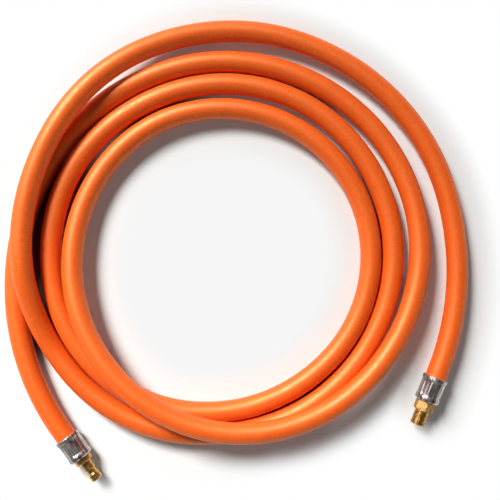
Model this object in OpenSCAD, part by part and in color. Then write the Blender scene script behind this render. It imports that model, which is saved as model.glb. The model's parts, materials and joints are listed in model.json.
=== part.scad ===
// Coiled air hose: a reinforced rubber hose wound by hand into a flat, loose coil,
// with a male pipe thread crimped on one end and a quick-coupling plug on the other.
// The coil lies on the plane z = 0, with the origin under the middle of its outline.
// All lengths are in millimetres and all angles in degrees.

/* [Hose] */
// Diameter of the hose's bore, which carries the air
hose_bore = 10; // [9:0.5:13]
// Thickness of the smooth inner tube
liner_wall = 1.5; // [1:0.1:2]
// Thickness of the textile reinforcement
braid_wall = 1; // [0.6:0.1:1.4]
// Thickness of the outer cover
cover_wall = 2; // [1.4:0.1:3]

/* [Coil] */
// Radius of the innermost lane, at the middle of the hose
inner_lane_r = 128; // [110:1:180]
// Clear space between neighbouring turns, beside and on each other
turn_gap = 1; // [0.8:0.1:3]
// Straight hose in front of each ferrule
straight_len = 4; // [2:1:12]

/* [Ferrules] */
// Length of the ferrule on the threaded end
thread_ferrule_len = 23.5; // [20:0.5:30]
// Length of the ferrule on the plug end
plug_ferrule_len = 23.5; // [20:0.5:30]
// Thickness of the lip round the mouth of a ferrule
lip_wall = 1.8; // [1.4:0.1:3]
// Width of that lip along the hose
lip_len = 3.5; // [2:0.5:5]
// Thickness of the crimped wall at the middle of its flats
crimp_wall = 0.8; // [0.6:0.1:1.2]
// Number of crimped flats round a ferrule
crimp_flats = 8; // [6:1:10]
// Thickness of the ring round a ferrule's closed end
end_ring_wall = 1.2; // [0.8:0.1:2.5]
// Length of that ring, and thickness of its end wall
end_ring_len = 3; // [2:0.5:4]
// Chamfer on the edges of the lip and the end ring
ferrule_chamfer = 0.6; // [0.2:0.1:0.7]

/* [Threaded stem] */
// Distance across the flats of the hexagon
hex_af = 16; // [14:0.5:24]
// Length of the hexagon
hex_len = 9; // [6:0.5:14]
// Major diameter of the male pipe thread
thread_od = 13.157; // [9.728, 13.157]
// Length of the male thread
thread_len = 13.5; // [8:0.5:16]

/* [Plug stem] */
// Diameter of the collar that rests on the ferrule
collar_od = 16; // [14:0.5:24]
// Length of the collar
collar_len = 4.5; // [2:0.5:6]
// Diameter of the barrel and the nose, which slide into the coupler
plug_od = 10.4; // [9.2:0.1:12]
// Length of the barrel
barrel_len = 8.5; // [6:0.5:16]
// Diameter of the groove that the coupler's balls lock in
groove_od = 8.6; // [7.6:0.1:9]
// Length of the groove
groove_len = 4; // [3:0.5:6]
// Length of the nose
nose_len = 7; // [5:0.5:9]

/* [Both stems] */
// Air bore through a stem
stem_bore = 6; // [3:0.5:6.5]
// Diameter of a stem's neck, which the ferrule's end wall closes on
neck_od = 12; // [11:0.5:13]
// Number of barbs on a stem's tail
barbs = 3; // [2:1:6]
// Depth of those barbs
barb_depth = 0.3; // [0.1:0.05:0.4]
// Distance from a ferrule's mouth to the end of the tail in it
tail_inset = 2; // [1:0.5:4]
// Chamfer on the outer edges of the stems
chamfer = 0.8; // [0.3:0.1:1]
// Clearance between pieces that are crimped or pushed together
fit_gap = 0.05; // [0.02:0.01:0.1]

/* [Hidden] */
$fn = 64;

// ---- Sizes that follow ----
bore_r = hose_bore / 2;
liner_r = bore_r + liner_wall;
braid_r = liner_r + braid_wall;
hose_r = braid_r + cover_wall;
hose_od = 2 * hose_r;
lane_pitch = hose_od + turn_gap;
flat_depth = hose_od / 10;                      // how deep the hose is cut flat on the floor
floor_z = hose_r - flat_depth;                  // height of the hose's middle there
tube_sides = 6;
ferrule_bore_r = hose_r + fit_gap;
lip_r = ferrule_bore_r + lip_wall;
crimp_corner_r = (ferrule_bore_r + crimp_wall) / cos(180 / crimp_flats);
end_ring_r = ferrule_bore_r + end_ring_wall;
neck_r = neck_od / 2;
tail_r = bore_r * cos(180 / tube_sides) - fit_gap;
hex_corner_r = hex_af / 2 / cos(30);
// Height of both fittings' axis: their widest piece touches the floor.
axis_z = max(lip_r, crimp_corner_r, end_ring_r, hex_corner_r, collar_od / 2);

// ---- Route of the hose ----
// The turns run round the coil's middle in lanes, one hose and one gap apart; lane 0 is the
// innermost. The rows give the lane every station_step degrees, a turn to a row, and begin one
// station before start_angle. The first station and the last only steer the curve's ends.
station_step = 30;
lane_rows = [
    [5.72],
    [4.67, 4.07, 3.86, 3.66, 3.53, 3.22, 2.73, 2.55, 2.57, 2.37, 1.88, 1.58],
    [1.33, 1.21, 1.13, 1.14, 1.15, 1.2, 1.42, 1.52, 1.57, 1.34, 0.89, 0.53],
    [0.34, 0.19, 0.06, 0, 0.03, 0.15, 0.26, 0.44, 0.73, 1.14, 1.61, 1.96],
    [2.18, 2.35, 2.32, 2.2, 2.16, 2.21, 2.46, 3, 3.92, 5.1, 6.4]];
lanes = [for (row = lane_rows) each row];
start_angle = -30;                              // at the threaded end
end_angle = 1308.5;                             // at the plug end
// Where the hose climbs over turns that lie under it, as angles along the coil:
// start of the rise, start of the top, end of the top, end of the fall.
humps = [[85, 148, 180, 214], [860, 965, 998, 1124]];
end_lift = 40;                                  // angle in which an end rises to its ferrule
ring_step = 15;                                 // angle between the rings of the tube

function unit(v) = v / norm(v);

function smooth(t) = let (c = max(0, min(1, t))) c * c * (3 - 2 * c);

// Catmull-Rom curve from q to r, with their neighbours p and s
function blend(p, q, r, s, t) =
    (2 * q + (r - p) * t + (2 * p - 5 * q + 4 * r - s) * t * t
     + (3 * q - p - 3 * r + s) * t * t * t) / 2;

function lane_at(a) =
    let (u = (a - start_angle) / station_step, i = floor(u))
    blend(lanes[i], lanes[i + 1], lanes[i + 2], lanes[i + 3], u - i);

function level_at(a) = max([for (h = humps)
    smooth((a - h[0]) / (h[1] - h[0])) * (1 - smooth((a - h[2]) / (h[3] - h[2])))]);

function end_rise(a) = 1 - smooth(min(a - start_angle, end_angle - a) / end_lift);

function coil_point(a) =
    let (r = inner_lane_r + lane_at(a) * lane_pitch)
    [r * cos(a), r * sin(a),
     floor_z + level_at(a) * lane_pitch + end_rise(a) * (axis_z - floor_z)];

// Level direction in which the hose leaves the coil at the angle a, going the way of nudge
function leaving(a, nudge) =
    let (d = coil_point(a) - coil_point(a - nudge)) unit([d.x, d.y, 0]);

function hose_in(ferrule_len) = ferrule_len - end_ring_len - fit_gap;

thread_dir = leaving(start_angle, -0.01);
plug_dir = leaving(end_angle, 0.01);
thread_mouth = coil_point(start_angle) + thread_dir * straight_len;
plug_mouth = coil_point(end_angle) + plug_dir * straight_len;
ring_angles = [for (a = [start_angle : ring_step : end_angle - ring_step / 2]) a];
route = concat(
    [thread_mouth + thread_dir * hose_in(thread_ferrule_len)],
    [for (a = ring_angles) coil_point(a)],
    [coil_point(end_angle), plug_mouth + plug_dir * hose_in(plug_ferrule_len)]);
last_ring = len(route) - 1;

function heading(i) =
    i <= 1 ? -thread_dir :
    i >= last_ring - 1 ? plug_dir : unit(route[i + 1] - route[i - 1]);

// ---- Tube along the route ----
// A corner below the floor slides up its flank, towards the corner beside it, onto the floor.
function on_floor(p, beside) = p.z >= 0 ? p : p + (beside - p) * p.z / (p.z - beside.z);

function ring_corner(i, k, r) =
    let (side = unit(cross(heading(i), [0, 0, 1])),
         up = cross(side, heading(i)),
         turn = k * 360 / tube_sides)
    route[i] + r * (cos(turn) * side + sin(turn) * up);

// Corners of the rings, numbered ring by ring; corner 0 is beside the last, corner 3 beside the 4th.
function tube_corners(r) = [for (i = [0 : last_ring]) for (k = [0 : tube_sides - 1])
    on_floor(ring_corner(i, k, r), ring_corner(i, k == tube_sides - 1 ? 0 : tube_sides / 2, r))];

function wall_faces(first, outward) = [
    for (i = [0 : last_ring - 1]) for (k = [0 : tube_sides - 1])
        let (a = first + i * tube_sides + k,
             b = first + i * tube_sides + (k + 1) % tube_sides,
             c = a + tube_sides,
             d = b + tube_sides)
        each outward ? [[a, b, c], [b, d, c]] : [[a, c, b], [b, c, d]]];

function end_faces(ring, inner_first, outward) = [
    for (k = [0 : tube_sides - 1])
        let (a = ring * tube_sides + k,
             b = ring * tube_sides + (k + 1) % tube_sides,
             c = a + inner_first,
             d = b + inner_first)
        each outward ? [[a, b, c], [b, d, c]] : [[a, c, b], [b, c, d]]];

module hose_layer(r_out, r_in) {
    outer = tube_corners(r_out);
    inner = tube_corners(r_in);
    polyhedron(
        points = concat(outer, inner),
        faces = concat(wall_faces(0, true), wall_faces(len(outer), false),
                       end_faces(0, len(outer), false), end_faces(last_ring, len(outer), true)));
}

// ---- Origin ----
thread_tip = thread_mouth + thread_dir * (thread_ferrule_len + hex_len + thread_len);
plug_tip = plug_mouth + plug_dir * (plug_ferrule_len + collar_len + barrel_len
                                    + groove_len + nose_len);
function tip_edge(tip, dir, r) = [for (s = [-r, r]) tip + s * cross(dir, [0, 0, 1])];
outline = concat(tube_corners(hose_r),
                 tip_edge(thread_tip, thread_dir, thread_od / 2 - chamfer),
                 tip_edge(plug_tip, plug_dir, plug_od / 2 - chamfer));
function middle(axis) =
    let (values = [for (p = outline) p[axis]]) (min(values) + max(values)) / 2;
coil_centre = [-middle(0), -middle(1), 0];

// ---- Least gap of the hose to itself ----
// It is measured between points on the tube's axis that lie a quarter turn or more apart along it.
checks_per_ring = 3;
quarter_turn = 90 / ring_step * checks_per_ring;
axis_points = [for (i = [0 : last_ring - 1]) for (k = [0 : checks_per_ring - 1])
    route[i] + (route[i + 1] - route[i]) * k / checks_per_ring];
least_gap = min([for (i = [quarter_turn : len(axis_points) - 1]) for (j = [0 : i - quarter_turn])
    norm(axis_points[i] - axis_points[j])]) - hose_od;
echo(least_gap_of_the_hose_to_itself = least_gap);

// ---- Fittings, drawn along +Z from the ferrule's mouth ----
module at_mouth(mouth, dir) {
    translate(mouth) rotate([0, 90, atan2(dir.y, dir.x)]) children();
}

// Disc about the Z axis, with the chamfer before on its lower outer edge and after on its upper
module disc(r, from, length, before, after) {
    rotate_extrude() translate([0, from])
        polygon([[0, 0], [r - before, 0], [r, before],
                 [r, length - after], [r - after, length], [0, length]]);
}

module ferrule(length) {
    difference() {
        union() {
            disc(lip_r, 0, lip_len, ferrule_chamfer, 0);
            rotate([0, 0, 180 / crimp_flats])
                cylinder(h = length - ferrule_chamfer, r = crimp_corner_r, $fn = crimp_flats);
            disc(end_ring_r, length - end_ring_len, end_ring_len, 0, ferrule_chamfer);
        }
        translate([0, 0, -lip_len])
            cylinder(h = lip_len + length - end_ring_len, r = ferrule_bore_r);
        cylinder(h = length + end_ring_len, r = neck_r + fit_gap);
    }
}

// Barbed tail in the hose and neck through the ferrule's end wall
module tail_and_neck(ferrule_len) {
    tail_end = ferrule_len - end_ring_len;
    barb_len = (tail_end - tail_inset) / barbs;
    rotate_extrude() polygon(concat(
        [[0, tail_inset]],
        [for (b = [0 : barbs - 1]) each [[tail_r - barb_depth, tail_inset + b * barb_len],
                                         [tail_r, tail_inset + (b + 1) * barb_len]]],
        [[neck_r, tail_end], [neck_r, ferrule_len], [0, ferrule_len]]));
}

// Bore through a stem whose tip is that far from the ferrule's mouth
module air_bore(tip) {
    cylinder(h = tip + tail_inset, d = stem_bore);
}

// ---- Sub-parts ----
module hose_cover() {
    color("orangered") translate(coil_centre) hose_layer(hose_r, braid_r);
}

module hose_braid() {
    color("ivory") translate(coil_centre) hose_layer(braid_r, liner_r);
}

module hose_liner() {
    color("dimgray") translate(coil_centre) hose_layer(liner_r, bore_r);
}

module thread_ferrule() {
    color("silver") translate(coil_centre) at_mouth(thread_mouth, thread_dir)
        ferrule(thread_ferrule_len);
}

module plug_ferrule() {
    color("silver") translate(coil_centre) at_mouth(plug_mouth, plug_dir)
        ferrule(plug_ferrule_len);
}

module thread_stem() {
    color("goldenrod") translate(coil_centre) at_mouth(thread_mouth, thread_dir)
        difference() {
            union() {
                tail_and_neck(thread_ferrule_len);
                intersection() {
                    translate([0, 0, thread_ferrule_len]) rotate([0, 0, 30])
                        cylinder(h = hex_len, r = hex_corner_r, $fn = 6);
                    disc(hex_corner_r, thread_ferrule_len, hex_len, 0, chamfer);
                }
                disc(thread_od / 2, thread_ferrule_len, hex_len + thread_len, 0, chamfer);
            }
            air_bore(thread_ferrule_len + hex_len + thread_len);
        }
}

module plug_stem() {
    collar_from = plug_ferrule_len;
    groove_from = collar_from + collar_len + barrel_len;
    nose_from = groove_from + groove_len;
    color("goldenrod") translate(coil_centre) at_mouth(plug_mouth, plug_dir)
        difference() {
            union() {
                tail_and_neck(plug_ferrule_len);
                disc(collar_od / 2, collar_from, collar_len, 0, chamfer);
                disc(plug_od / 2, collar_from, collar_len + barrel_len, 0, chamfer);
                disc(groove_od / 2, collar_from, nose_from - collar_from + chamfer, 0, 0);
                disc(plug_od / 2, nose_from, nose_len, chamfer, chamfer);
            }
            air_bore(nose_from + nose_len);
        }
}

hose_cover();
hose_braid();
hose_liner();
thread_ferrule();
thread_stem();
plug_ferrule();
plug_stem();
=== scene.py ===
"""The looks of a coiled air hose: a reinforced rubber hose wound by hand into a flat, loose coil,
with a male pipe thread crimped on one end and a quick-coupling plug on the other.

Sizes of the hose, its fittings and its route are in millimetres, those of the floor and the lamp
in metres, and angles in degrees. Meshes are made in metres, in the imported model's own frame.
A ring of points starts under the piece and goes once round its axis.
"""

import json
import math

import bpy
import numpy as np
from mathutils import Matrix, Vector


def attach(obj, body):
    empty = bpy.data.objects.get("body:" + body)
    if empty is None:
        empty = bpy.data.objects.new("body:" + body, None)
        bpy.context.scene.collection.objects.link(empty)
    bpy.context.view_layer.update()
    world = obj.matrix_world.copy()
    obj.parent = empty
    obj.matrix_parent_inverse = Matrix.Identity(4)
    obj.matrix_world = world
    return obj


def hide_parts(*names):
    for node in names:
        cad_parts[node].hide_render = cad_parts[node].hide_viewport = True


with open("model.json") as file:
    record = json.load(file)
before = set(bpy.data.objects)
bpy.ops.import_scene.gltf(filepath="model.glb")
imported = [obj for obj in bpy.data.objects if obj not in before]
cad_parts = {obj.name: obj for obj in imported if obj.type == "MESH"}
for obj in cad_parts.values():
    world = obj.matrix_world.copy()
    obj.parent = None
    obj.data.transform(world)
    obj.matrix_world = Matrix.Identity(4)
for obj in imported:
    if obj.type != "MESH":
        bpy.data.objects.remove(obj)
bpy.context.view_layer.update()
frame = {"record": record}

MM = 0.001
UP = np.array([0.0, 0.0, 1.0])
SHARP_ANGLE = 32                 # from which an edge between two faces is drawn sharp

# ---- Hose ----
HOSE_BORE = 10
LINER_WALL = 1.5
BRAID_WALL = 1
COVER_WALL = 2
BORE_R = HOSE_BORE / 2
LINER_R = BORE_R + LINER_WALL
BRAID_R = LINER_R + BRAID_WALL
HOSE_R = BRAID_R + COVER_WALL
HOSE_SIDES = 48
RING_STEP = 2.5                  # angle of winding between the rings of the tube
HIDDEN_RINGS = 6                 # rings of each end from inside its ferrule to the mouth

# ---- Coil, as in the CAD source ----
INNER_LANE_R = 128               # radius of lane 0
LANE_PITCH = 2 * HOSE_R + 1      # from one lane to the next
STRAIGHT_LEN = 4                 # of each end, before its ferrule
STATION_STEP = 30
# The hose's lane at each step of winding, 0 being the innermost; the first is a step too early
LANE_ROWS = [
    [5.72],
    [4.67, 4.07, 3.86, 3.66, 3.53, 3.22, 2.73, 2.55, 2.57, 2.37, 1.88, 1.58],
    [1.33, 1.21, 1.13, 1.14, 1.15, 1.2, 1.42, 1.52, 1.57, 1.34, 0.89, 0.53],
    [0.34, 0.19, 0.06, 0, 0.03, 0.15, 0.26, 0.44, 0.73, 1.14, 1.61, 1.96],
    [2.18, 2.35, 2.32, 2.2, 2.16, 2.21, 2.46, 3, 3.92, 5.1, 6.4]]
LANES = [lane for row in LANE_ROWS for lane in row]
START_ANGLE = -30                # at the threaded end
END_ANGLE = 1308.5               # at the plug end
# Angles where a raised stretch starts up, is up, starts down and is down again
HUMPS = [[85, 148, 180, 214], [860, 965, 998, 1124]]
END_LIFT = 40                    # angle over which the hose comes down from a fitting's axis

# ---- Ferrules: lengths are from the mouth that the hose goes into ----
FERRULE_LEN = 23.5
FIT_GAP = 0.05
FERRULE_BORE_R = HOSE_R + FIT_GAP
LIP_WALL = 1.8
LIP_R = FERRULE_BORE_R + LIP_WALL
LIP_END = 3.6                    # where the lip's outer face turns down
LIP_EDGE = 0.5                   # rounding there
LIP_DROP = 0.55                  # how far the outside has come in where the flank begins
FLANK_END = 5.0                  # where the crimped length begins
FIN_R = 10.7                     # outside of the ridges between the crimps
FLAT_R = 10.05                   # middle of a crimped flat
WIDEN_FROM = 17.9                # where the outside widens to the end ring
WIDEN_TO = 19.5
WIDEN_STEP = 0.03                # by this much at once, and the rest evenly
END_RING_R = 11.1
END_WALL = 3
END_ROUND = 2.4                  # rounding of the closed end
END_FACE_EDGE = 0.5              # ring of that face just inside the rounding
HOLE_EDGE = 0.6                  # ring of it just outside the neck's hole
HOLE_ROUND = 0.25
CRIMPS = 8                       # one straight up, and the others evenly round
CRIMP_SECTOR = 360 / CRIMPS
CRIMP_HALF = 15.5                # half the angle that a flat takes up
CRIMP_SIDE = 3.6                 # angle of the step from a flat to a ridge
CRIMP_FROM = 4.3
CRIMP_FROM_BOW = 1.0             # how much later a flat begins at its sides
CRIMP_RUN_IN = 1.1               # length in which it gets its depth
CRIMP_TO = 17.2
CRIMP_TO_BOW = 1.2               # how much sooner it ends at its sides
CRIMP_RUN_OUT = 2.2
CRIMP_UNEVEN = 0.12              # share of a flat's depth that differs from crimp to crimp
CRIMP_RHYTHM = 2.4               # radians of a sine from one crimp to the next, so none are alike
FERRULE_SIDES = 24 * CRIMPS
FERRULE_RING_GAP = 0.3           # from one stretch of a ferrule's section to the next

# ---- Stems ----
STEM_BORE_R = 3
BORE_MOUTH_WIDEN = 0.7           # chamfer of the bore at the tip, out from the bore
BORE_MOUTH_DEEP = 0.6            # and along it
NECK_R = 6
TAIL_R = 4.28
TAIL_INSET = 2
TAIL_EDGE = 0.2                  # chamfer of the bore at the tail
BARBS = 3
BARB_DEPTH = 0.3
BARB_EDGE = 0.05                 # from a barb's end to its last ring
STEM_SIDES = 96
SECTION_STEP = 0.1               # from one stretch of a stem's section to the next
HEX_AF = 16
HEX_LEN = 9
HEX_SECTOR = 60
HEX_CORNER_R = HEX_AF / 2 / math.cos(math.radians(HEX_SECTOR / 2))
HEX_ROLL = 30                    # of a flat from straight up, so that a corner is up
HEX_EDGE_ROUND = 0.15            # how much the corners of the hexagon are worn down
HEX_CHAMFER = 30                 # slope of the turned chamfers on the hexagon's ends
HEX_FACE_R = HEX_AF / 2 - 0.35   # round face left inside each chamfer
HEX_END_RINGS = [0.01, 0.02, 0.15, 0.3, 0.45, 0.6, 0.75, 0.9, 1.05, 1.2]
HEX_PLAIN_FROM = 1.8             # from each end, as the rings before, where they get far apart
HEX_FROM = FERRULE_LEN
HEX_TO = HEX_FROM + HEX_LEN
THREAD_OD = 13.157
THREAD_R = THREAD_OD / 2
THREAD_LEN = 13.5
THREAD_TIP = HEX_TO + THREAD_LEN
THREAD_PITCH = 1.337
THREAD_DEPTH = 0.5
THREAD_CREST = 0.45              # share of the pitch that is left standing
THREAD_ROOT = 1.25               # above 1 leaves the root flat
THREAD_RINGS = 150
THREAD_START = 1.2               # plain length between the hexagon and the thread
THREAD_FADE = 0.8                # length in which the thread gets its depth
THREAD_STOP = 0.3                # plain length at the tip
CHAMFER = 0.8                    # at the thread's tip
CHAMFER_EDGE = 0.08              # from its start to its first ring
COLLAR_R = 8
COLLAR_LEN = 4.5
COLLAR_BACK_ROUND = 0.4
COLLAR_FRONT_ROUND = 0.9
COLLAR_FILLET = 0.5              # between the collar and the barrel
PLUG_R = 5.2
BARREL_LEN = 8.5
BARREL_ROUND = 0.4               # at the groove
GROOVE_R = 4.3
GROOVE_LEN = 4
GROOVE_FILLET = 0.6              # at the barrel
NOSE_FILLET = 0.8                # between the groove and the nose
NOSE_LEN = 7
NOSE_BACK_ROUND = 0.9
NOSE_ROUND = 1.5                 # at the tip

# ---- View ----
MM_PER_PX = 0.907                # scale of the photograph at the hose
PHOTO_PX = 500
COIL_MIDDLE_PX = (225, 250)      # the middle of the turns in the photograph
PHOTO_MIDDLE_PX = 249.5
LENS = 50
SENSOR = 36
SCALE_HEIGHT = HOSE_R            # height over the floor at which that scale holds
CLIP_END = 50                    # metres


def unit(v):
    return v / np.linalg.norm(v)


def smooth(t):
    t = np.clip(t, 0, 1)
    return t * t * (3 - 2 * t)


def step_up(values, first, last):
    """0 up to the first value and 1 from the last, with a smooth change between"""
    return smooth((values - first) / (last - first))


# ---- Route of the hose, by the formula of the CAD source ----
mounts = {mount["name"]: mount for mount in frame["record"]["mounts"]}
thread_mount = np.array(mounts["male_thread"]["pos_m"]) / MM
AXIS_Z = thread_mount[2]         # height of both fittings' axes


def blend(p, q, r, s, t):
    """Catmull-Rom curve from q to r, with their neighbours p and s"""
    return (2 * q + (r - p) * t + (2 * p - 5 * q + 4 * r - s) * t * t
            + (3 * q - p - 3 * r + s) * t * t * t) / 2


def lane_at(angle):
    steps = (angle - START_ANGLE) / STATION_STEP
    first = math.floor(steps)
    return blend(*LANES[first:first + 4], steps - first)


def level_at(angle):
    return max(smooth((angle - a) / (b - a)) * (1 - smooth((angle - c) / (d - c)))
               for a, b, c, d in HUMPS)


def end_rise(angle):
    return 1 - smooth(min(angle - START_ANGLE, END_ANGLE - angle) / END_LIFT)


def coil_point(angle):
    r = INNER_LANE_R + lane_at(angle) * LANE_PITCH
    height = HOSE_R + level_at(angle) * LANE_PITCH + end_rise(angle) * (AXIS_Z - HOSE_R)
    return np.array([r * math.cos(math.radians(angle)), r * math.sin(math.radians(angle)), height])


def leaving(angle, nudge):
    """Level direction in which the hose leaves the coil at the angle, going the way of nudge"""
    step = coil_point(angle) - coil_point(angle - nudge)
    return unit(step * [1, 1, 0])


thread_dir = leaving(START_ANGLE, -0.01)
plug_dir = leaving(END_ANGLE, 0.01)
thread_mouth = coil_point(START_ANGLE) + thread_dir * STRAIGHT_LEN
plug_mouth = coil_point(END_ANGLE) + plug_dir * STRAIGHT_LEN
mount_from_mouth = HEX_TO + (THREAD_LEN - CHAMFER) / 2
coil_centre = thread_mount - thread_mouth - thread_dir * mount_from_mouth


def hose_rings():
    """Points of the hose's middle and its heading at each, from the threaded end to the plug end"""
    hidden = FERRULE_LEN - END_WALL - FIT_GAP
    angles = np.linspace(START_ANGLE, END_ANGLE, round((END_ANGLE - START_ANGLE) / RING_STEP) + 1)
    curve = np.array([coil_point(a) for a in angles])
    heading = np.gradient(curve, axis=0)
    heading[0] = -thread_dir
    heading[-1] = plug_dir
    inside = np.linspace(hidden, 0, HIDDEN_RINGS)
    start = [thread_mouth + thread_dir * s for s in inside]
    end = [plug_mouth + plug_dir * s for s in inside[::-1]]
    points = np.concatenate([start, curve, end]) + coil_centre
    headings = np.concatenate([[-thread_dir] * len(start), heading, [plug_dir] * len(end)])
    return points, np.array([unit(h) for h in headings])


# ---- Meshes ----
def ring_of(middle, heading, radius, sides):
    """Ring of points about heading, starting under the middle; radius is one number or one a side"""
    across = unit(np.cross(heading, UP))
    top = np.cross(across, heading)
    turn = math.pi + np.arange(sides) * 2 * math.pi / sides
    level = np.outer(np.cos(turn), top) + np.outer(np.sin(turn), across)
    return middle + np.broadcast_to(radius, sides)[:, None] * level


def closed_mesh(name, rings, around, along):
    """Solid whose rings follow its section all the way round, the last one next to the first.
    around and along are the piece's pattern coordinates: one a side with its end, and one a ring."""
    count, sides = rings.shape[:2]
    mesh = bpy.data.meshes.new(name)
    i, k = np.meshgrid(np.arange(count), np.arange(sides), indexing="ij")
    i2 = (i + 1) % count
    k2 = (k + 1) % sides
    corners = np.stack([i * sides + k, i * sides + k2, i2 * sides + k2, i2 * sides + k], -1)
    mesh.from_pydata((rings * MM).reshape(-1, 3).tolist(), [], corners.reshape(-1, 4).tolist())
    u = np.stack([around[k], around[k + 1], around[k + 1], around[k]], -1)
    v = np.stack([along[i], along[i], along[i2], along[i2]], -1)
    layer = mesh.uv_layers.new(name="pattern")
    layer.data.foreach_set("uv", np.stack([u, v], -1).astype(np.float32).ravel())
    mesh.shade_smooth()
    mesh.set_sharp_from_angle(angle=math.radians(SHARP_ANGLE))
    piece = bpy.data.objects.new(name, mesh)
    bpy.context.scene.collection.objects.link(piece)
    return piece


def hose_layer(name, outer_r, inner_r):
    """One layer of the hose, its outer wall from end to end and back along its inner one. Its
    pattern coordinates are millimetres round it and along it."""
    points, headings = hose_rings()
    outer = [ring_of(p, h, outer_r, HOSE_SIDES) for p, h in zip(points, headings)]
    inner = [ring_of(p, h, inner_r, HOSE_SIDES) for p, h in zip(points, headings)]
    along = np.concatenate([[0], np.cumsum(np.linalg.norm(np.diff(points, axis=0), axis=1))])
    around = np.linspace(0, 2 * math.pi * outer_r, HOSE_SIDES + 1)
    return closed_mesh(name, np.array(outer + inner[::-1]), around,
                       np.concatenate([along, along[::-1]]))


def turned(name, mouth, direction, section, sides, shape=None):
    """Solid turned about a fitting's axis. section is its outline as (distance from the ferrule's
    mouth, radius), all round. shape may give each ring's radii from those two and the angle from
    straight up. Its pattern coordinates are the share of a turn and millimetres along it."""
    turn = 180 + np.arange(sides) * 360 / sides
    rings = []
    for z, r in section:
        radii = r if shape is None else shape(z, r, turn)
        rings.append(ring_of(mouth + coil_centre + direction * z, direction, radii, sides))
    lengths = np.array([z for z, r in section])
    return closed_mesh(name, np.array(rings), np.linspace(0, 1, sides + 1), lengths)


def arc(z, r, radius, first, last, steps):
    """Arc about (z, r); 0 is along the axis towards the tip and 90 is outward"""
    turns = np.radians(np.linspace(first, last, steps + 1))
    return [(z + radius * math.cos(t), r + radius * math.sin(t)) for t in turns]


def corner(z, r, radius, ahead, outward, first, last, steps):
    """Arc that rounds off the corner at (z, r). Its middle lies ahead or behind, by 1 or -1, and
    outward or inward."""
    return arc(z + ahead * radius, r + outward * radius, radius, first, last, steps)


def run(z1, r1, z2, r2, steps):
    """Straight stretch of a section, both ends included"""
    return [(z1 + (z2 - z1) * s / steps, r1 + (r2 - r1) * s / steps) for s in range(steps + 1)]


# ---- Ferrules ----
def crimped(z, r, turn):
    """Radii of a ferrule, with its flats pressed in between the ridges"""
    if r < FLAT_R or z < CRIMP_FROM:
        return r
    number = np.round(turn / CRIMP_SECTOR)
    off = np.abs(turn - number * CRIMP_SECTOR)
    press = 1 + CRIMP_UNEVEN * np.sin(CRIMP_RHYTHM * number)
    flat = FIN_R + press * (FLAT_R / np.cos(np.radians(off)) - FIN_R)
    across = 1 - smooth((off - CRIMP_HALF) / CRIMP_SIDE)
    bow = (off / CRIMP_HALF) ** 2
    begin = smooth((z - CRIMP_FROM - CRIMP_FROM_BOW * bow) / CRIMP_RUN_IN)
    finish = 1 - smooth((z - CRIMP_TO + CRIMP_TO_BOW * bow) / CRIMP_RUN_OUT)
    return r - np.clip(FIN_R - flat, 0, None) * across * begin * finish


def ferrule(name, mouth, direction):
    """Ferrule from its rolled lip over the crimps to the closed end, and back inside"""
    roll_r = LIP_WALL / 2
    inner_end = FERRULE_LEN - END_WALL
    last_ring = FERRULE_LEN - END_ROUND - FERRULE_RING_GAP
    hole_r = NECK_R + FIT_GAP
    section = (
        arc(roll_r, FERRULE_BORE_R + roll_r, roll_r, 270, 90, 12)
        + run(roll_r + SECTION_STEP, LIP_R, LIP_END - LIP_EDGE, LIP_R, 4)
        + corner(LIP_END, LIP_R, LIP_EDGE, -1, -1, 75, 30, 4)
        + run(LIP_END + LIP_EDGE / 2, LIP_R - LIP_DROP, FLANK_END, FIN_R, 6)[1:]
        + run(FLANK_END + FERRULE_RING_GAP, FIN_R, WIDEN_FROM - FERRULE_RING_GAP, FIN_R, 42)
        + run(WIDEN_FROM, FIN_R + WIDEN_STEP, WIDEN_TO, END_RING_R, 8)
        + run(WIDEN_TO + FERRULE_RING_GAP, END_RING_R, last_ring, END_RING_R, 4)
        + corner(FERRULE_LEN, END_RING_R, END_ROUND, -1, -1, 84, 12, 10)
        + [(FERRULE_LEN, END_RING_R - END_ROUND - END_FACE_EDGE), (FERRULE_LEN, NECK_R + HOLE_EDGE)]
        + corner(FERRULE_LEN, hole_r, HOLE_ROUND, -1, 1, 0, -90, 3)
        + [(inner_end, hole_r), (inner_end, FERRULE_BORE_R)])
    return turned(name, mouth, direction, section, FERRULE_SIDES, crimped)


# ---- Stems ----
def tail_and_neck():
    """Section of a barbed tail and the neck through the ferrule's end wall"""
    tail_end = FERRULE_LEN - END_WALL
    barb = (tail_end - TAIL_INSET) / BARBS
    section = [(TAIL_INSET, STEM_BORE_R + TAIL_EDGE)]
    for number in range(BARBS):
        start = TAIL_INSET + number * barb
        section += [(start + BARB_EDGE, TAIL_R - BARB_DEPTH), (start + barb - BARB_EDGE, TAIL_R)]
    return section + [(tail_end, NECK_R), (FERRULE_LEN, NECK_R)]


def back_through_bore(tip):
    """Section from the tip's face back to the tail, along the bore, with its mouth chamfered"""
    mouth = [(tip, STEM_BORE_R + BORE_MOUTH_WIDEN)]
    bore = run(tip - BORE_MOUTH_DEEP, STEM_BORE_R, TAIL_INSET + TAIL_EDGE, STEM_BORE_R, 3)
    return mouth + bore


def hexagon(z, turn):
    """Radii of the hexagon, with the chamfers of its ends"""
    half = HEX_SECTOR / 2
    off = np.radians((turn - HEX_ROLL + half) % HEX_SECTOR - half)
    prism = np.minimum(HEX_AF / 2 / np.cos(off), HEX_CORNER_R - HEX_EDGE_ROUND)
    nearest_end = min(z - HEX_FROM, HEX_TO - z)
    return np.minimum(prism, HEX_FACE_R + nearest_end / math.tan(math.radians(HEX_CHAMFER)))


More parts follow.
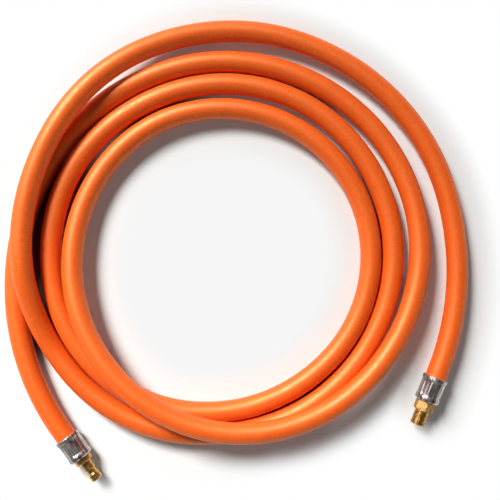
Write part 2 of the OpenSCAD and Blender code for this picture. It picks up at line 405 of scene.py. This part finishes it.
def threaded(z, r, turn):
    """Radii of the pipe thread, whose groove goes once round in each pitch"""
    turns = z / THREAD_PITCH - turn / 360
    crest = np.abs(turns % 1 - 0.5) * 2                  # 1 on the crest, 0 in the root
    groove = np.clip((1 - THREAD_CREST - crest) / (1 - THREAD_CREST), 0, 1)
    fade = smooth((z - HEX_TO - THREAD_START) / THREAD_FADE)
    return np.minimum(r, THREAD_R - THREAD_DEPTH * smooth(groove * THREAD_ROOT) * fade)


def hexagon_and_thread(z, r, turn):
    """Radii of the threaded stem: its hexagon, its thread, and r everywhere else"""
    if HEX_FROM < z < HEX_TO and r > THREAD_R:
        return hexagon(z, turn)
    if HEX_TO + THREAD_START < z < THREAD_TIP - THREAD_STOP and r > TAIL_R:
        return threaded(z, r, turn)
    return r


def thread_stem(name):
    plain_from = HEX_FROM + HEX_PLAIN_FROM
    plain_to = HEX_TO - HEX_PLAIN_FROM
    chamfer_from = THREAD_TIP - CHAMFER
    section = (
        tail_and_neck()
        + [(HEX_FROM + z, HEX_CORNER_R) for z in HEX_END_RINGS]
        + run(plain_from, HEX_CORNER_R, plain_to, HEX_CORNER_R, 3)
        + [(HEX_TO - z, HEX_CORNER_R) for z in HEX_END_RINGS[::-1]]
        + [(HEX_TO, HEX_FACE_R - SECTION_STEP / 2), (HEX_TO, THREAD_R)]
        + run(HEX_TO + SECTION_STEP, THREAD_R, chamfer_from, THREAD_R, THREAD_RINGS)
        + run(chamfer_from + CHAMFER_EDGE, THREAD_R - CHAMFER_EDGE, THREAD_TIP,
              THREAD_R - CHAMFER, 6)
        + back_through_bore(THREAD_TIP))
    return turned(name, thread_mouth, thread_dir, section, STEM_SIDES, hexagon_and_thread)


def plug_stem(name):
    collar_to = FERRULE_LEN + COLLAR_LEN
    groove_from = collar_to + BARREL_LEN
    nose_from = groove_from + GROOVE_LEN
    tip = nose_from + NOSE_LEN
    barrel = (collar_to + COLLAR_FILLET + SECTION_STEP, groove_from - BARREL_ROUND - SECTION_STEP)
    nose = (nose_from + NOSE_BACK_ROUND + SECTION_STEP, tip - NOSE_ROUND - SECTION_STEP)
    section = (
        tail_and_neck()
        + corner(FERRULE_LEN, COLLAR_R, COLLAR_BACK_ROUND, 1, -1, 180, 90, 3)
        + corner(collar_to, COLLAR_R, COLLAR_FRONT_ROUND, -1, -1, 90, 20, 6)
        + [(collar_to, PLUG_R + COLLAR_FILLET + SECTION_STEP)]
        + corner(collar_to, PLUG_R, COLLAR_FILLET, 1, 1, 200, 270, 3)
        + run(barrel[0], PLUG_R, barrel[1], PLUG_R, 5)
        + corner(groove_from, PLUG_R, BARREL_ROUND, -1, -1, 80, 30, 4)
        + corner(groove_from + SECTION_STEP, GROOVE_R, GROOVE_FILLET, 1, 1, 200, 270, 5)
        + corner(nose_from - SECTION_STEP, GROOVE_R, NOSE_FILLET, -1, 1, 270, 330, 5)
        + corner(nose_from, PLUG_R, NOSE_BACK_ROUND, 1, -1, 150, 90, 6)
        + run(nose[0], PLUG_R, nose[1], PLUG_R, 4)
        + corner(tip, PLUG_R, NOSE_ROUND, -1, -1, 90, 10, 8)
        + back_through_bore(tip))
    return turned(name, plug_mouth, plug_dir, section, STEM_SIDES)


# ---- Nodes ----
WAVE_RATE = 20                   # radians of a wave texture to a unit, at a scale of 1


def new_material(name, colour, roughness, metallic=0.0):
    material = bpy.data.materials.new(name)
    material.use_nodes = True
    tree = material.node_tree
    shader = tree.nodes["Principled BSDF"]
    shader.inputs["Base Color"].default_value = (*colour, 1)
    shader.inputs["Roughness"].default_value = roughness
    shader.inputs["Metallic"].default_value = metallic
    return material, tree, shader


def add(tree, kind, settings=(), **links):
    """New node. settings are its properties and input values by name, and links what feeds its
    inputs."""
    node = tree.nodes.new(kind)
    for name, value in dict(settings).items():
        if name in node.inputs:
            node.inputs[name].default_value = value
        else:
            setattr(node, name, value)
    for name, source in links.items():
        tree.links.new(source, node.inputs[name])
    return node


def object_place(tree):
    return add(tree, "ShaderNodeTexCoord").outputs["Object"]


def pattern_place(tree, scale=(1.0, 1.0, 1.0), turn=0):
    """Pattern coordinates of a piece, stretched by scale and then turned"""
    uv = add(tree, "ShaderNodeUVMap", {"uv_map": "pattern"}).outputs["UV"]
    settings = {"Scale": scale, "Rotation": (0, 0, math.radians(turn))}
    return add(tree, "ShaderNodeMapping", settings, Vector=uv).outputs["Vector"]


def noise(tree, place, scale, detail=4.0, roughness=0.5):
    settings = {"Scale": scale, "Detail": detail, "Roughness": roughness}
    return add(tree, "ShaderNodeTexNoise", settings, Vector=place).outputs["Fac"]


def wave(tree, place, axis, count):
    """Ridges across an axis of the place, that many to a unit"""
    settings = {"wave_type": "BANDS", "bands_direction": axis, "Distortion": 0.0,
                "Scale": count * 2 * math.pi / WAVE_RATE}
    return add(tree, "ShaderNodeTexWave", settings, Vector=place).outputs["Fac"]


def between(tree, factor, low, high, span=(0.3, 0.7), change="LINEAR"):
    """Number from low to high as factor goes over the span"""
    settings = {"interpolation_type": change, "From Min": span[0], "From Max": span[1],
                "To Min": low, "To Max": high}
    return add(tree, "ShaderNodeMapRange", settings, Value=factor).outputs["Result"]


def feed_or_set(tree, socket, value):
    """Link to another node's output, or set a number or a colour"""
    if isinstance(value, bpy.types.NodeSocket):
        tree.links.new(value, socket)
    elif isinstance(value, tuple):
        socket.default_value = (*value, 1)
    else:
        socket.default_value = value


def mixed(tree, factor, first, second):
    """Colour that goes from the first to the second as factor goes from 0 to 1"""
    node = add(tree, "ShaderNodeMix", {"data_type": "RGBA"})
    colours = [socket for socket in node.inputs if socket.type == "RGBA"]
    feed_or_set(tree, node.inputs[0], factor)
    feed_or_set(tree, colours[0], first)
    feed_or_set(tree, colours[1], second)
    return next(socket for socket in node.outputs if socket.type == "RGBA")


def maths(tree, operation, first, second):
    node = add(tree, "ShaderNodeMath", {"operation": operation})
    feed_or_set(tree, node.inputs[0], first)
    feed_or_set(tree, node.inputs[1], second)
    return node.outputs["Value"]


def bump(tree, shader, height, depth):
    """Relief of that many millimetres where height goes from 0 to 1"""
    node = add(tree, "ShaderNodeBump", {"Strength": 1.0, "Distance": depth * MM}, Height=height)
    tree.links.new(node.outputs["Normal"], shader.inputs["Normal"])


def ray_kinds(tree):
    """1 for a ray from the camera, and 1 for one that something mirrors or lets through"""
    path = add(tree, "ShaderNodeLightPath").outputs
    mirrored = maths(tree, "MAXIMUM", path["Is Glossy Ray"], path["Is Transmission Ray"])
    return path["Is Camera Ray"], mirrored


# ---- Materials of the hose ----
COVER_ORANGE = (0.87, 0.116, 0.006)
COVER_BLOTCHES = ((0.86, 0.110, 0.005), (0.90, 0.128, 0.007))
COVER_MOTTLE = (0.70, 0.066, 0.003)
COVER_SPECKS = (0.72, 0.18, 0.055)
COVER_RIBS = (0.66, 0.060, 0.004)
COVER_GLOSS = (1.0, 0.80, 0.36)
COVER_IOR = 1.6
MOTTLE_SHARE = 0.6
SPECKS_SHARE = 0.35
RIBS_SHARE = 0.18
WEAVE_LEAST = 0.25               # relief of the weave between the weft's ridges, and on them
WEAVE_MOST = 0.5
WEFT_PER_MM = 1.0                # ridges of the cloth's print, round the hose
WARP_PER_MM = 0.42               # and along it
BRAID_YARN = (0.70, 0.67, 0.60)
BRAID_COLOURS = ((0.42, 0.39, 0.33), (0.74, 0.71, 0.64))
BRAID_ANGLE = 54
YARNS_PER_MM = 0.5               # across each of its two courses
LINER_BLACK = (0.02, 0.02, 0.02)
LINER_CLOUDS = ((0.014, 0.014, 0.015), (0.035, 0.034, 0.033))


def cover_material():
    """Orange rubber, satin, with the fine print of the cloth it was cured in"""
    material, tree, shader = new_material("orange_rubber", COVER_ORANGE, roughness=0.50)
    shader.inputs["IOR"].default_value = COVER_IOR
    shader.inputs["Specular IOR Level"].default_value = 1.0
    shader.inputs["Specular Tint"].default_value = (*COVER_GLOSS, 1)
    place = object_place(tree)
    cloth = pattern_place(tree)
    weft = wave(tree, cloth, "X", WEFT_PER_MM)
    warp = wave(tree, cloth, "Y", WARP_PER_MM)
    blotches = between(tree, noise(tree, place, scale=28.0, detail=3.0), 0, 1)
    mottle = noise(tree, place, scale=380.0, detail=4.0, roughness=0.7)
    mottle = between(tree, mottle, 0, MOTTLE_SHARE, span=(0.34, 0.66))
    specks = noise(tree, place, scale=900.0, detail=2.0)
    specks = between(tree, specks, 0, SPECKS_SHARE, span=(0.62, 0.8))
    ribs = between(tree, warp, 0, RIBS_SHARE, span=(0, 1))
    colour = mixed(tree, blotches, *COVER_BLOTCHES)
    colour = mixed(tree, mottle, colour, COVER_MOTTLE)
    colour = mixed(tree, specks, colour, COVER_SPECKS)
    colour = mixed(tree, ribs, colour, COVER_RIBS)
    tree.links.new(colour, shader.inputs["Base Color"])
    satin = between(tree, noise(tree, place, scale=300.0, detail=5.0), 0.44, 0.57)
    tree.links.new(satin, shader.inputs["Roughness"])
    weave = between(tree, weft, WEAVE_LEAST, WEAVE_MOST, span=(0, 1))
    weave = maths(tree, "MULTIPLY", weave, warp)
    grain = noise(tree, place, scale=1500.0, detail=3.0, roughness=0.6)
    bump(tree, shader, maths(tree, "ADD", weave, grain), depth=0.03)
    return material


def braid_material():
    """Off-white polyester yarn, laid crosswise"""
    material, tree, shader = new_material("polyester_braid", BRAID_YARN, roughness=0.75)
    place = pattern_place(tree, turn=BRAID_ANGLE)
    one = wave(tree, place, "X", YARNS_PER_MM)
    other = wave(tree, place, "Y", YARNS_PER_MM)
    weave = maths(tree, "MAXIMUM", one, other)
    tree.links.new(mixed(tree, weave, *BRAID_COLOURS), shader.inputs["Base Color"])
    bump(tree, shader, weave, depth=0.2)
    return material


def liner_material():
    """Black rubber, smooth from the mandrel"""
    material, tree, shader = new_material("black_rubber", LINER_BLACK, roughness=0.4)
    place = object_place(tree)
    clouds = noise(tree, place, scale=60.0)
    tree.links.new(mixed(tree, clouds, *LINER_CLOUDS), shader.inputs["Base Color"])
    smear = between(tree, noise(tree, place, scale=200.0), 0.32, 0.5)
    tree.links.new(smear, shader.inputs["Roughness"])
    bump(tree, shader, noise(tree, place, scale=700.0), depth=0.02)
    return material


# ---- Materials of the fittings ----
ZINC = (0.62, 0.59, 0.56)
ZINC_CLOUDS = ((0.70, 0.66, 0.61), (0.58, 0.54, 0.56))
ZINC_STAIN = (0.36, 0.32, 0.28)
ZINC_STREAK = (0.20, 0.155, 0.13)
JAW_MARKS = (34.0, 0.06, 1.0)    # streaks of the crimping jaws: to a turn, and to a millimetre
BRASS = (0.80, 0.53, 0.20)
BRASS_CLOUDS = ((0.88, 0.58, 0.22), (0.66, 0.38, 0.11))
BRASS_TARNISH = (0.40, 0.22, 0.06)
BRASS_WORN = (0.34, 0.19, 0.06)
BRASS_DULL = (0.30, 0.17, 0.06)
TOOL_MARKS = (2.0, 7.0, 1.0)     # rings of the lathe's tool: to a turn, and to a millimetre
DULL_SHARE = 0.35                # how much of its dull colour the hexagon has
DULL_ROUGHER = 0.20
DULL_EDGE = 0.1                  # half the length in which the dull part ends


def steel_material():
    """Zinc-plated steel, dragged along its length by the crimping jaws"""
    material, tree, shader = new_material("zinc_plated_steel", ZINC, roughness=0.24, metallic=1.0)
    place = object_place(tree)
    streaks = noise(tree, pattern_place(tree, JAW_MARKS), scale=1.0, detail=4.0, roughness=0.6)
    clouds = between(tree, noise(tree, place, scale=160.0, detail=3.0), 0, 1)
    stain = noise(tree, place, scale=420.0, detail=5.0, roughness=0.7)
    stain = between(tree, stain, 0, 1, span=(0.56, 0.72))
    dark = between(tree, streaks, 1, 0, span=(0.40, 0.56))
    colour = mixed(tree, clouds, *ZINC_CLOUDS)
    colour = mixed(tree, stain, colour, ZINC_STAIN)
    colour = mixed(tree, dark, colour, ZINC_STREAK)
    tree.links.new(colour, shader.inputs["Base Color"])
    tree.links.new(between(tree, streaks, 0.36, 0.46), shader.inputs["Roughness"])
    bump(tree, shader, streaks, depth=0.03)
    return material


def brass_material(name, dull_to):
    """Turned brass with fine tool marks and a little tarnish, duller up to that distance from the
    ferrule's mouth"""
    material, tree, shader = new_material(name, BRASS, roughness=0.30, metallic=1.0)
    place = object_place(tree)
    rings = noise(tree, pattern_place(tree, TOOL_MARKS), scale=1.0, detail=5.0, roughness=0.6)
    clouds = between(tree, noise(tree, place, scale=240.0, detail=4.0), 0, 1)
    tarnish = noise(tree, place, scale=600.0, detail=5.0, roughness=0.7)
    tarnish = between(tree, tarnish, 0, 1, span=(0.58, 0.76))
    worn = noise(tree, place, scale=480.0, detail=4.0, roughness=0.65)
    worn = between(tree, worn, 0, 1, span=(0.44, 0.66))
    length = add(tree, "ShaderNodeSeparateXYZ", Vector=pattern_place(tree)).outputs["Y"]
    dull = between(tree, length, 1, 0, span=(dull_to - DULL_EDGE, dull_to + DULL_EDGE))
    colour = mixed(tree, clouds, *BRASS_CLOUDS)
    colour = mixed(tree, tarnish, colour, BRASS_TARNISH)
    colour = mixed(tree, worn, colour, BRASS_WORN)
    colour = mixed(tree, maths(tree, "MULTIPLY", dull, DULL_SHARE), colour, BRASS_DULL)
    tree.links.new(colour, shader.inputs["Base Color"])
    rougher = maths(tree, "MULTIPLY", dull, DULL_ROUGHER)
    rough = maths(tree, "ADD", between(tree, rings, 0.30, 0.42), rougher)
    tree.links.new(rough, shader.inputs["Roughness"])
    bump(tree, shader, rings, depth=0.02)
    return material


def dress(piece, material, node):
    piece.data.materials.append(material)
    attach(piece, "root")
    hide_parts(node)
    return piece


# ---- Camera ----
def make_camera():
    """Camera straight above, framed as the photograph is"""
    data = bpy.data.cameras.new("camera")
    data.lens = LENS
    data.sensor_width = SENSOR
    data.clip_end = CLIP_END
    camera = bpy.data.objects.new("camera", data)
    distance = LENS / SENSOR * PHOTO_PX * MM_PER_PX
    right = (PHOTO_MIDDLE_PX - COIL_MIDDLE_PX[0]) * MM_PER_PX
    above = (COIL_MIDDLE_PX[1] - PHOTO_MIDDLE_PX) * MM_PER_PX
    middle = coil_centre + [right, above, SCALE_HEIGHT + distance]
    camera.location = middle * MM
    bpy.context.scene.collection.objects.link(camera)
    bpy.context.scene.camera = camera


make_camera()

# ---- The hose ----
hose = dress(hose_layer("hose_cover_visual", HOSE_R, BRAID_R), cover_material(),
             "hose_cover")
braid = dress(hose_layer("hose_braid_visual", BRAID_R, LINER_R), braid_material(),
              "hose_braid")
liner = dress(hose_layer("hose_liner_visual", LINER_R, BORE_R), liner_material(),
              "hose_liner")

# ---- The fittings ----
steel = steel_material()
hex_brass = brass_material("brass_with_hexagon", dull_to=HEX_TO)
plug_brass = brass_material("turned_brass", dull_to=0)
fittings = [
    dress(ferrule("thread_ferrule_visual", thread_mouth, thread_dir), steel,
          "thread_ferrule"),
    dress(ferrule("plug_ferrule_visual", plug_mouth, plug_dir), steel, "plug_ferrule"),
    dress(thread_stem("thread_stem_visual"), hex_brass, "thread_stem"),
    dress(plug_stem("plug_stem_visual"), plug_brass, "plug_stem")]

hose_line = hose_rings()[0] * MM

# ---- Floor: in metres, but in millimetres where turns are told by their gap or radius ----
FLOOR_HALF = 8.0
FLOOR_CELL = 0.006
FLOOR_FINE_HALF = 0.42           # the part of the floor whose points know how far the hose is
FLOOR_PAINT = (0.80, 0.80, 0.80)
FLOOR_SEEN = (0.73, 0.735, 0.72)     # its colour for the camera
FLOOR_PAINTED_SHADE = (0.12, 0.06, 0.05)      # painted shade: the floor's colour for the camera between close turns
WHITE = (1, 1, 1)
SHADOW_SHIFT = (0.009, -0.010)   # from the hose to the middle of its shadow
WHITE_FROM = 0.011               # distance from the hose or its shadow where the floor turns white
WHITE_TO = 0.040
WHITE_LEAST = 0.06               # share of that white everywhere
INSIDE_LEVEL = 0.92              # painted shade: the dimmer white of the floor inside the coil, outside it being 1
INSIDE_TO = 0.125                # distance from the coil's middle where it starts to rise to 1
OUTSIDE_FROM = 0.23
TOUCHING_GAP = (21.2, 22.4)      # turns this near each other get painted shade on the floor between them,
INNER_TURNS = (163, 169)         # up to this radius
CLOSE_GAP = (24, 32)             # as these do where the outer one is raised, at these angles
RAISED_FROM = (135, 155)
RAISED_TO = (215, 240)
GAP_STEP = 5                     # angle between the places where the turns are measured
LAPS = 5                         # as many turns as the winding may have
NO_TURN = 1000                   # radius that stands for no turn on that side


def floor_points():
    """Points of the floor, close together near the hose, and their number along a side"""
    fine = np.arange(-FLOOR_FINE_HALF, FLOOR_FINE_HALF + FLOOR_CELL / 2, FLOOR_CELL)
    ticks = np.concatenate([[-FLOOR_HALF], fine, [FLOOR_HALF]])
    x, y = np.meshgrid(ticks, ticks, indexing="ij")
    return np.stack([x, y, np.zeros_like(x)], -1).reshape(-1, 3), len(ticks)


def distance_to_hose(points):
    """Distance of each point to the hose or its shadow, whichever is nearer"""
    trail = hose_line[:, :2]
    trail = np.concatenate([trail, trail + SHADOW_SHIFT])
    return np.array([np.hypot(*(trail - point[:2]).T).min() for point in points])


def white_level(points):
    """How bright the floor's white is: dimmer inside the coil as painted shade, and full outside it
    """
    from_middle = np.hypot(*(points[:, :2] - coil_centre[:2] * MM).T)
    return INSIDE_LEVEL + (1 - INSIDE_LEVEL) * step_up(from_middle, INSIDE_TO, OUTSIDE_FROM)


def painted_shade_between_turns(points):
    """Share of painted shade on the floor: 1 where a point lies between close turns, 0 in the open
    """
    x, y = (points[:, :2] / MM - coil_centre[:2]).T
    turn = np.degrees(np.arctan2(y, x))
    radius = np.hypot(x, y)
    angles = np.arange(START_ANGLE, END_ANGLE, GAP_STEP)
    reach = [INNER_LANE_R + lane_at(angle) * LANE_PITCH for angle in angles]
    turns = np.array([np.interp(turn + 360 * lap, angles, reach, left=np.nan, right=np.nan)
                      for lap in range(LAPS)])
    inner = np.where(turns <= radius, turns, -NO_TURN).max(axis=0)
    outer = np.where(turns > radius, turns, NO_TURN).min(axis=0)
    gap = outer - inner
    raised = step_up(turn % 360, *RAISED_FROM) * (1 - step_up(turn % 360, *RAISED_TO))
    touching = (1 - step_up(gap, *TOUCHING_GAP)) * (1 - step_up(radius, *INNER_TURNS))
    return np.maximum(touching, (1 - step_up(gap, *CLOSE_GAP)) * raised)


def floor_mesh():
    """Floor that knows at each point how far the hose is, how white it is and how much painted shade
    it gets between close turns
    """
    points, count = floor_points()
    first = (np.arange(count - 1)[:, None] * count + np.arange(count - 1)).ravel()
    faces = np.stack([first, first + count, first + count + 1, first + 1], -1)
    mesh = bpy.data.meshes.new("floor")
    mesh.from_pydata(points.tolist(), [], faces.tolist())
    values = {"away": distance_to_hose(points), "level": white_level(points),
              "deep": painted_shade_between_turns(points)}
    for name, value in values.items():
        mesh.attributes.new(name, "FLOAT", "POINT").data.foreach_set("value", value)
    return mesh


def point_value(tree, name):
    return add(tree, "ShaderNodeAttribute", {"attribute_name": name}).outputs["Fac"]


def floor_material():
    """Pale floor that keeps the shadows, gets painted shade between close turns for the camera, and
    away from the hose turns white for the camera and in what mirrors the floor"""
    material, tree, shader = new_material("white_floor", FLOOR_PAINT, roughness=0.9)
    shader.inputs["Specular IOR Level"].default_value = 0.1
    camera_ray, mirrored_ray = ray_kinds(tree)
    # painted shade: between close turns the floor turns dark for the camera and loses its white
    deep = point_value(tree, "deep")
    tint = mixed(tree, deep, FLOOR_SEEN, FLOOR_PAINTED_SHADE)
    tint = mixed(tree, camera_ray, FLOOR_PAINT, tint)
    tree.links.new(tint, shader.inputs["Base Color"])
    share = between(tree, point_value(tree, "away"), WHITE_LEAST, 1, (WHITE_FROM, WHITE_TO),
                    "SMOOTHSTEP")
    share = maths(tree, "MULTIPLY", share, maths(tree, "MAXIMUM", camera_ray, mirrored_ray))
    share = maths(tree, "MULTIPLY", share, maths(tree, "SUBTRACT", 1, deep))
    white = add(tree, "ShaderNodeEmission", {"Color": (*WHITE, 1)},
                Strength=point_value(tree, "level"))
    both = add(tree, "ShaderNodeMixShader")
    for number, source in enumerate((share, shader.outputs[0], white.outputs[0])):
        tree.links.new(source, both.inputs[number])
    tree.links.new(both.outputs[0], tree.nodes["Material Output"].inputs["Surface"])
    return material


def make_floor():
    mesh = floor_mesh()
    mesh.materials.append(floor_material())
    floor = bpy.data.objects.new("floor", mesh)
    bpy.context.scene.collection.objects.link(floor)


# ---- Room: an azimuth of 0 is +X and 90 is +Y, and a height of 0 is level and 1 straight up ----
FRONT_AZIMUTH = 315              # where the pale wall stands
FRONT_SPAN = (-0.6, 0.9)         # cosine of the angle from it, from the dim walls to the pale one
FRONT_LEVELS = ((0.0, 1.5), (0.14, 1.2), (0.3, 0.26), (0.5, 0.075), (1.0, 0.05))
BACK_LEVELS = ((0.0, 0.3), (0.14, 0.24), (0.3, 0.13), (0.5, 0.06), (1.0, 0.045))
WARM = (1, 0.96, 0.90)           # tint of the walls
MIRRORED_SPAN = (0.30, 0.05)     # heights between which mirrors start to see the walls white


def wall_colour(tree, height, levels):
    """Warm grey of a wall by levels, each a height with its brightness there"""
    node = add(tree, "ShaderNodeValToRGB", Fac=height)
    stops = node.color_ramp.elements
    for number, (position, level) in enumerate(levels):
        stop = stops[number] if number < 2 else stops.new(position)
        stop.position = position
        stop.color = (*(level * part for part in WARM), 1)
    return node.outputs["Color"]


def make_world():
    """Studio room: a pale wall in front, dimmer ones behind, and a dark ceiling that shows in the
    metal. The camera sees all of it white, and mirrors its lowest part."""
    world = bpy.data.worlds.new("world")
    bpy.context.scene.world = world
    world.use_nodes = True
    tree = world.node_tree
    place = add(tree, "ShaderNodeTexCoord").outputs["Generated"]
    height = add(tree, "ShaderNodeSeparateXYZ", Vector=place).outputs["Z"]
    azimuth = math.radians(FRONT_AZIMUTH)
    facing = add(tree, "ShaderNodeVectorMath", {"operation": "DOT_PRODUCT"}, Vector=place)
    facing.inputs[1].default_value = (math.cos(azimuth), math.sin(azimuth), 0)
    in_front = between(tree, facing.outputs["Value"], 0, 1, FRONT_SPAN, "SMOOTHSTEP")
    walls = mixed(tree, in_front, wall_colour(tree, height, BACK_LEVELS),
                  wall_colour(tree, height, FRONT_LEVELS))
    camera_ray, mirrored_ray = ray_kinds(tree)
    low = between(tree, height, 0, 1, MIRRORED_SPAN, "SMOOTHSTEP")
    mirrored_low = maths(tree, "MULTIPLY", mirrored_ray, low)
    white = maths(tree, "MAXIMUM", camera_ray, mirrored_low)
    tree.links.new(mixed(tree, white, walls, WHITE), tree.nodes["Background"].inputs["Color"])


# ---- Lamp ----
KEY_AZIMUTH = 133                # counted as the room's
KEY_ELEVATION = 42.5
KEY_DISTANCE = 5
KEY_SIZE = 2.1
KEY_LEVEL = 0.285                # what a white surface facing it would get from a beam left open
KEY_SPREAD = 50                  # opening of its beam, which is the brighter for being narrow
KEY_AIM = (-0.9, -1.0, 0.0)      # middle of its beam on the floor, past the coil's near left


def make_key():
    """Large soft lamp up and to the left of the picture"""
    data = bpy.data.lights.new("key", "AREA")
    data.shape = "DISK"
    data.size = KEY_SIZE
    data.spread = math.radians(KEY_SPREAD)
    data.energy = KEY_LEVEL * math.pi ** 2 * KEY_DISTANCE ** 2
    key = bpy.data.objects.new("key", data)
    azimuth = math.radians(KEY_AZIMUTH)
    elevation = math.radians(KEY_ELEVATION)
    key.location = (KEY_DISTANCE * math.cos(elevation) * math.cos(azimuth),
                    KEY_DISTANCE * math.cos(elevation) * math.sin(azimuth),
                    KEY_DISTANCE * math.sin(elevation))
    key.rotation_euler = (key.location - Vector(KEY_AIM)).to_track_quat("Z", "Y").to_euler()
    key.visible_camera = False
    bpy.context.scene.collection.objects.link(key)


make_floor()
make_world()
make_key()
bpy.context.scene.view_settings.view_transform = "Standard"
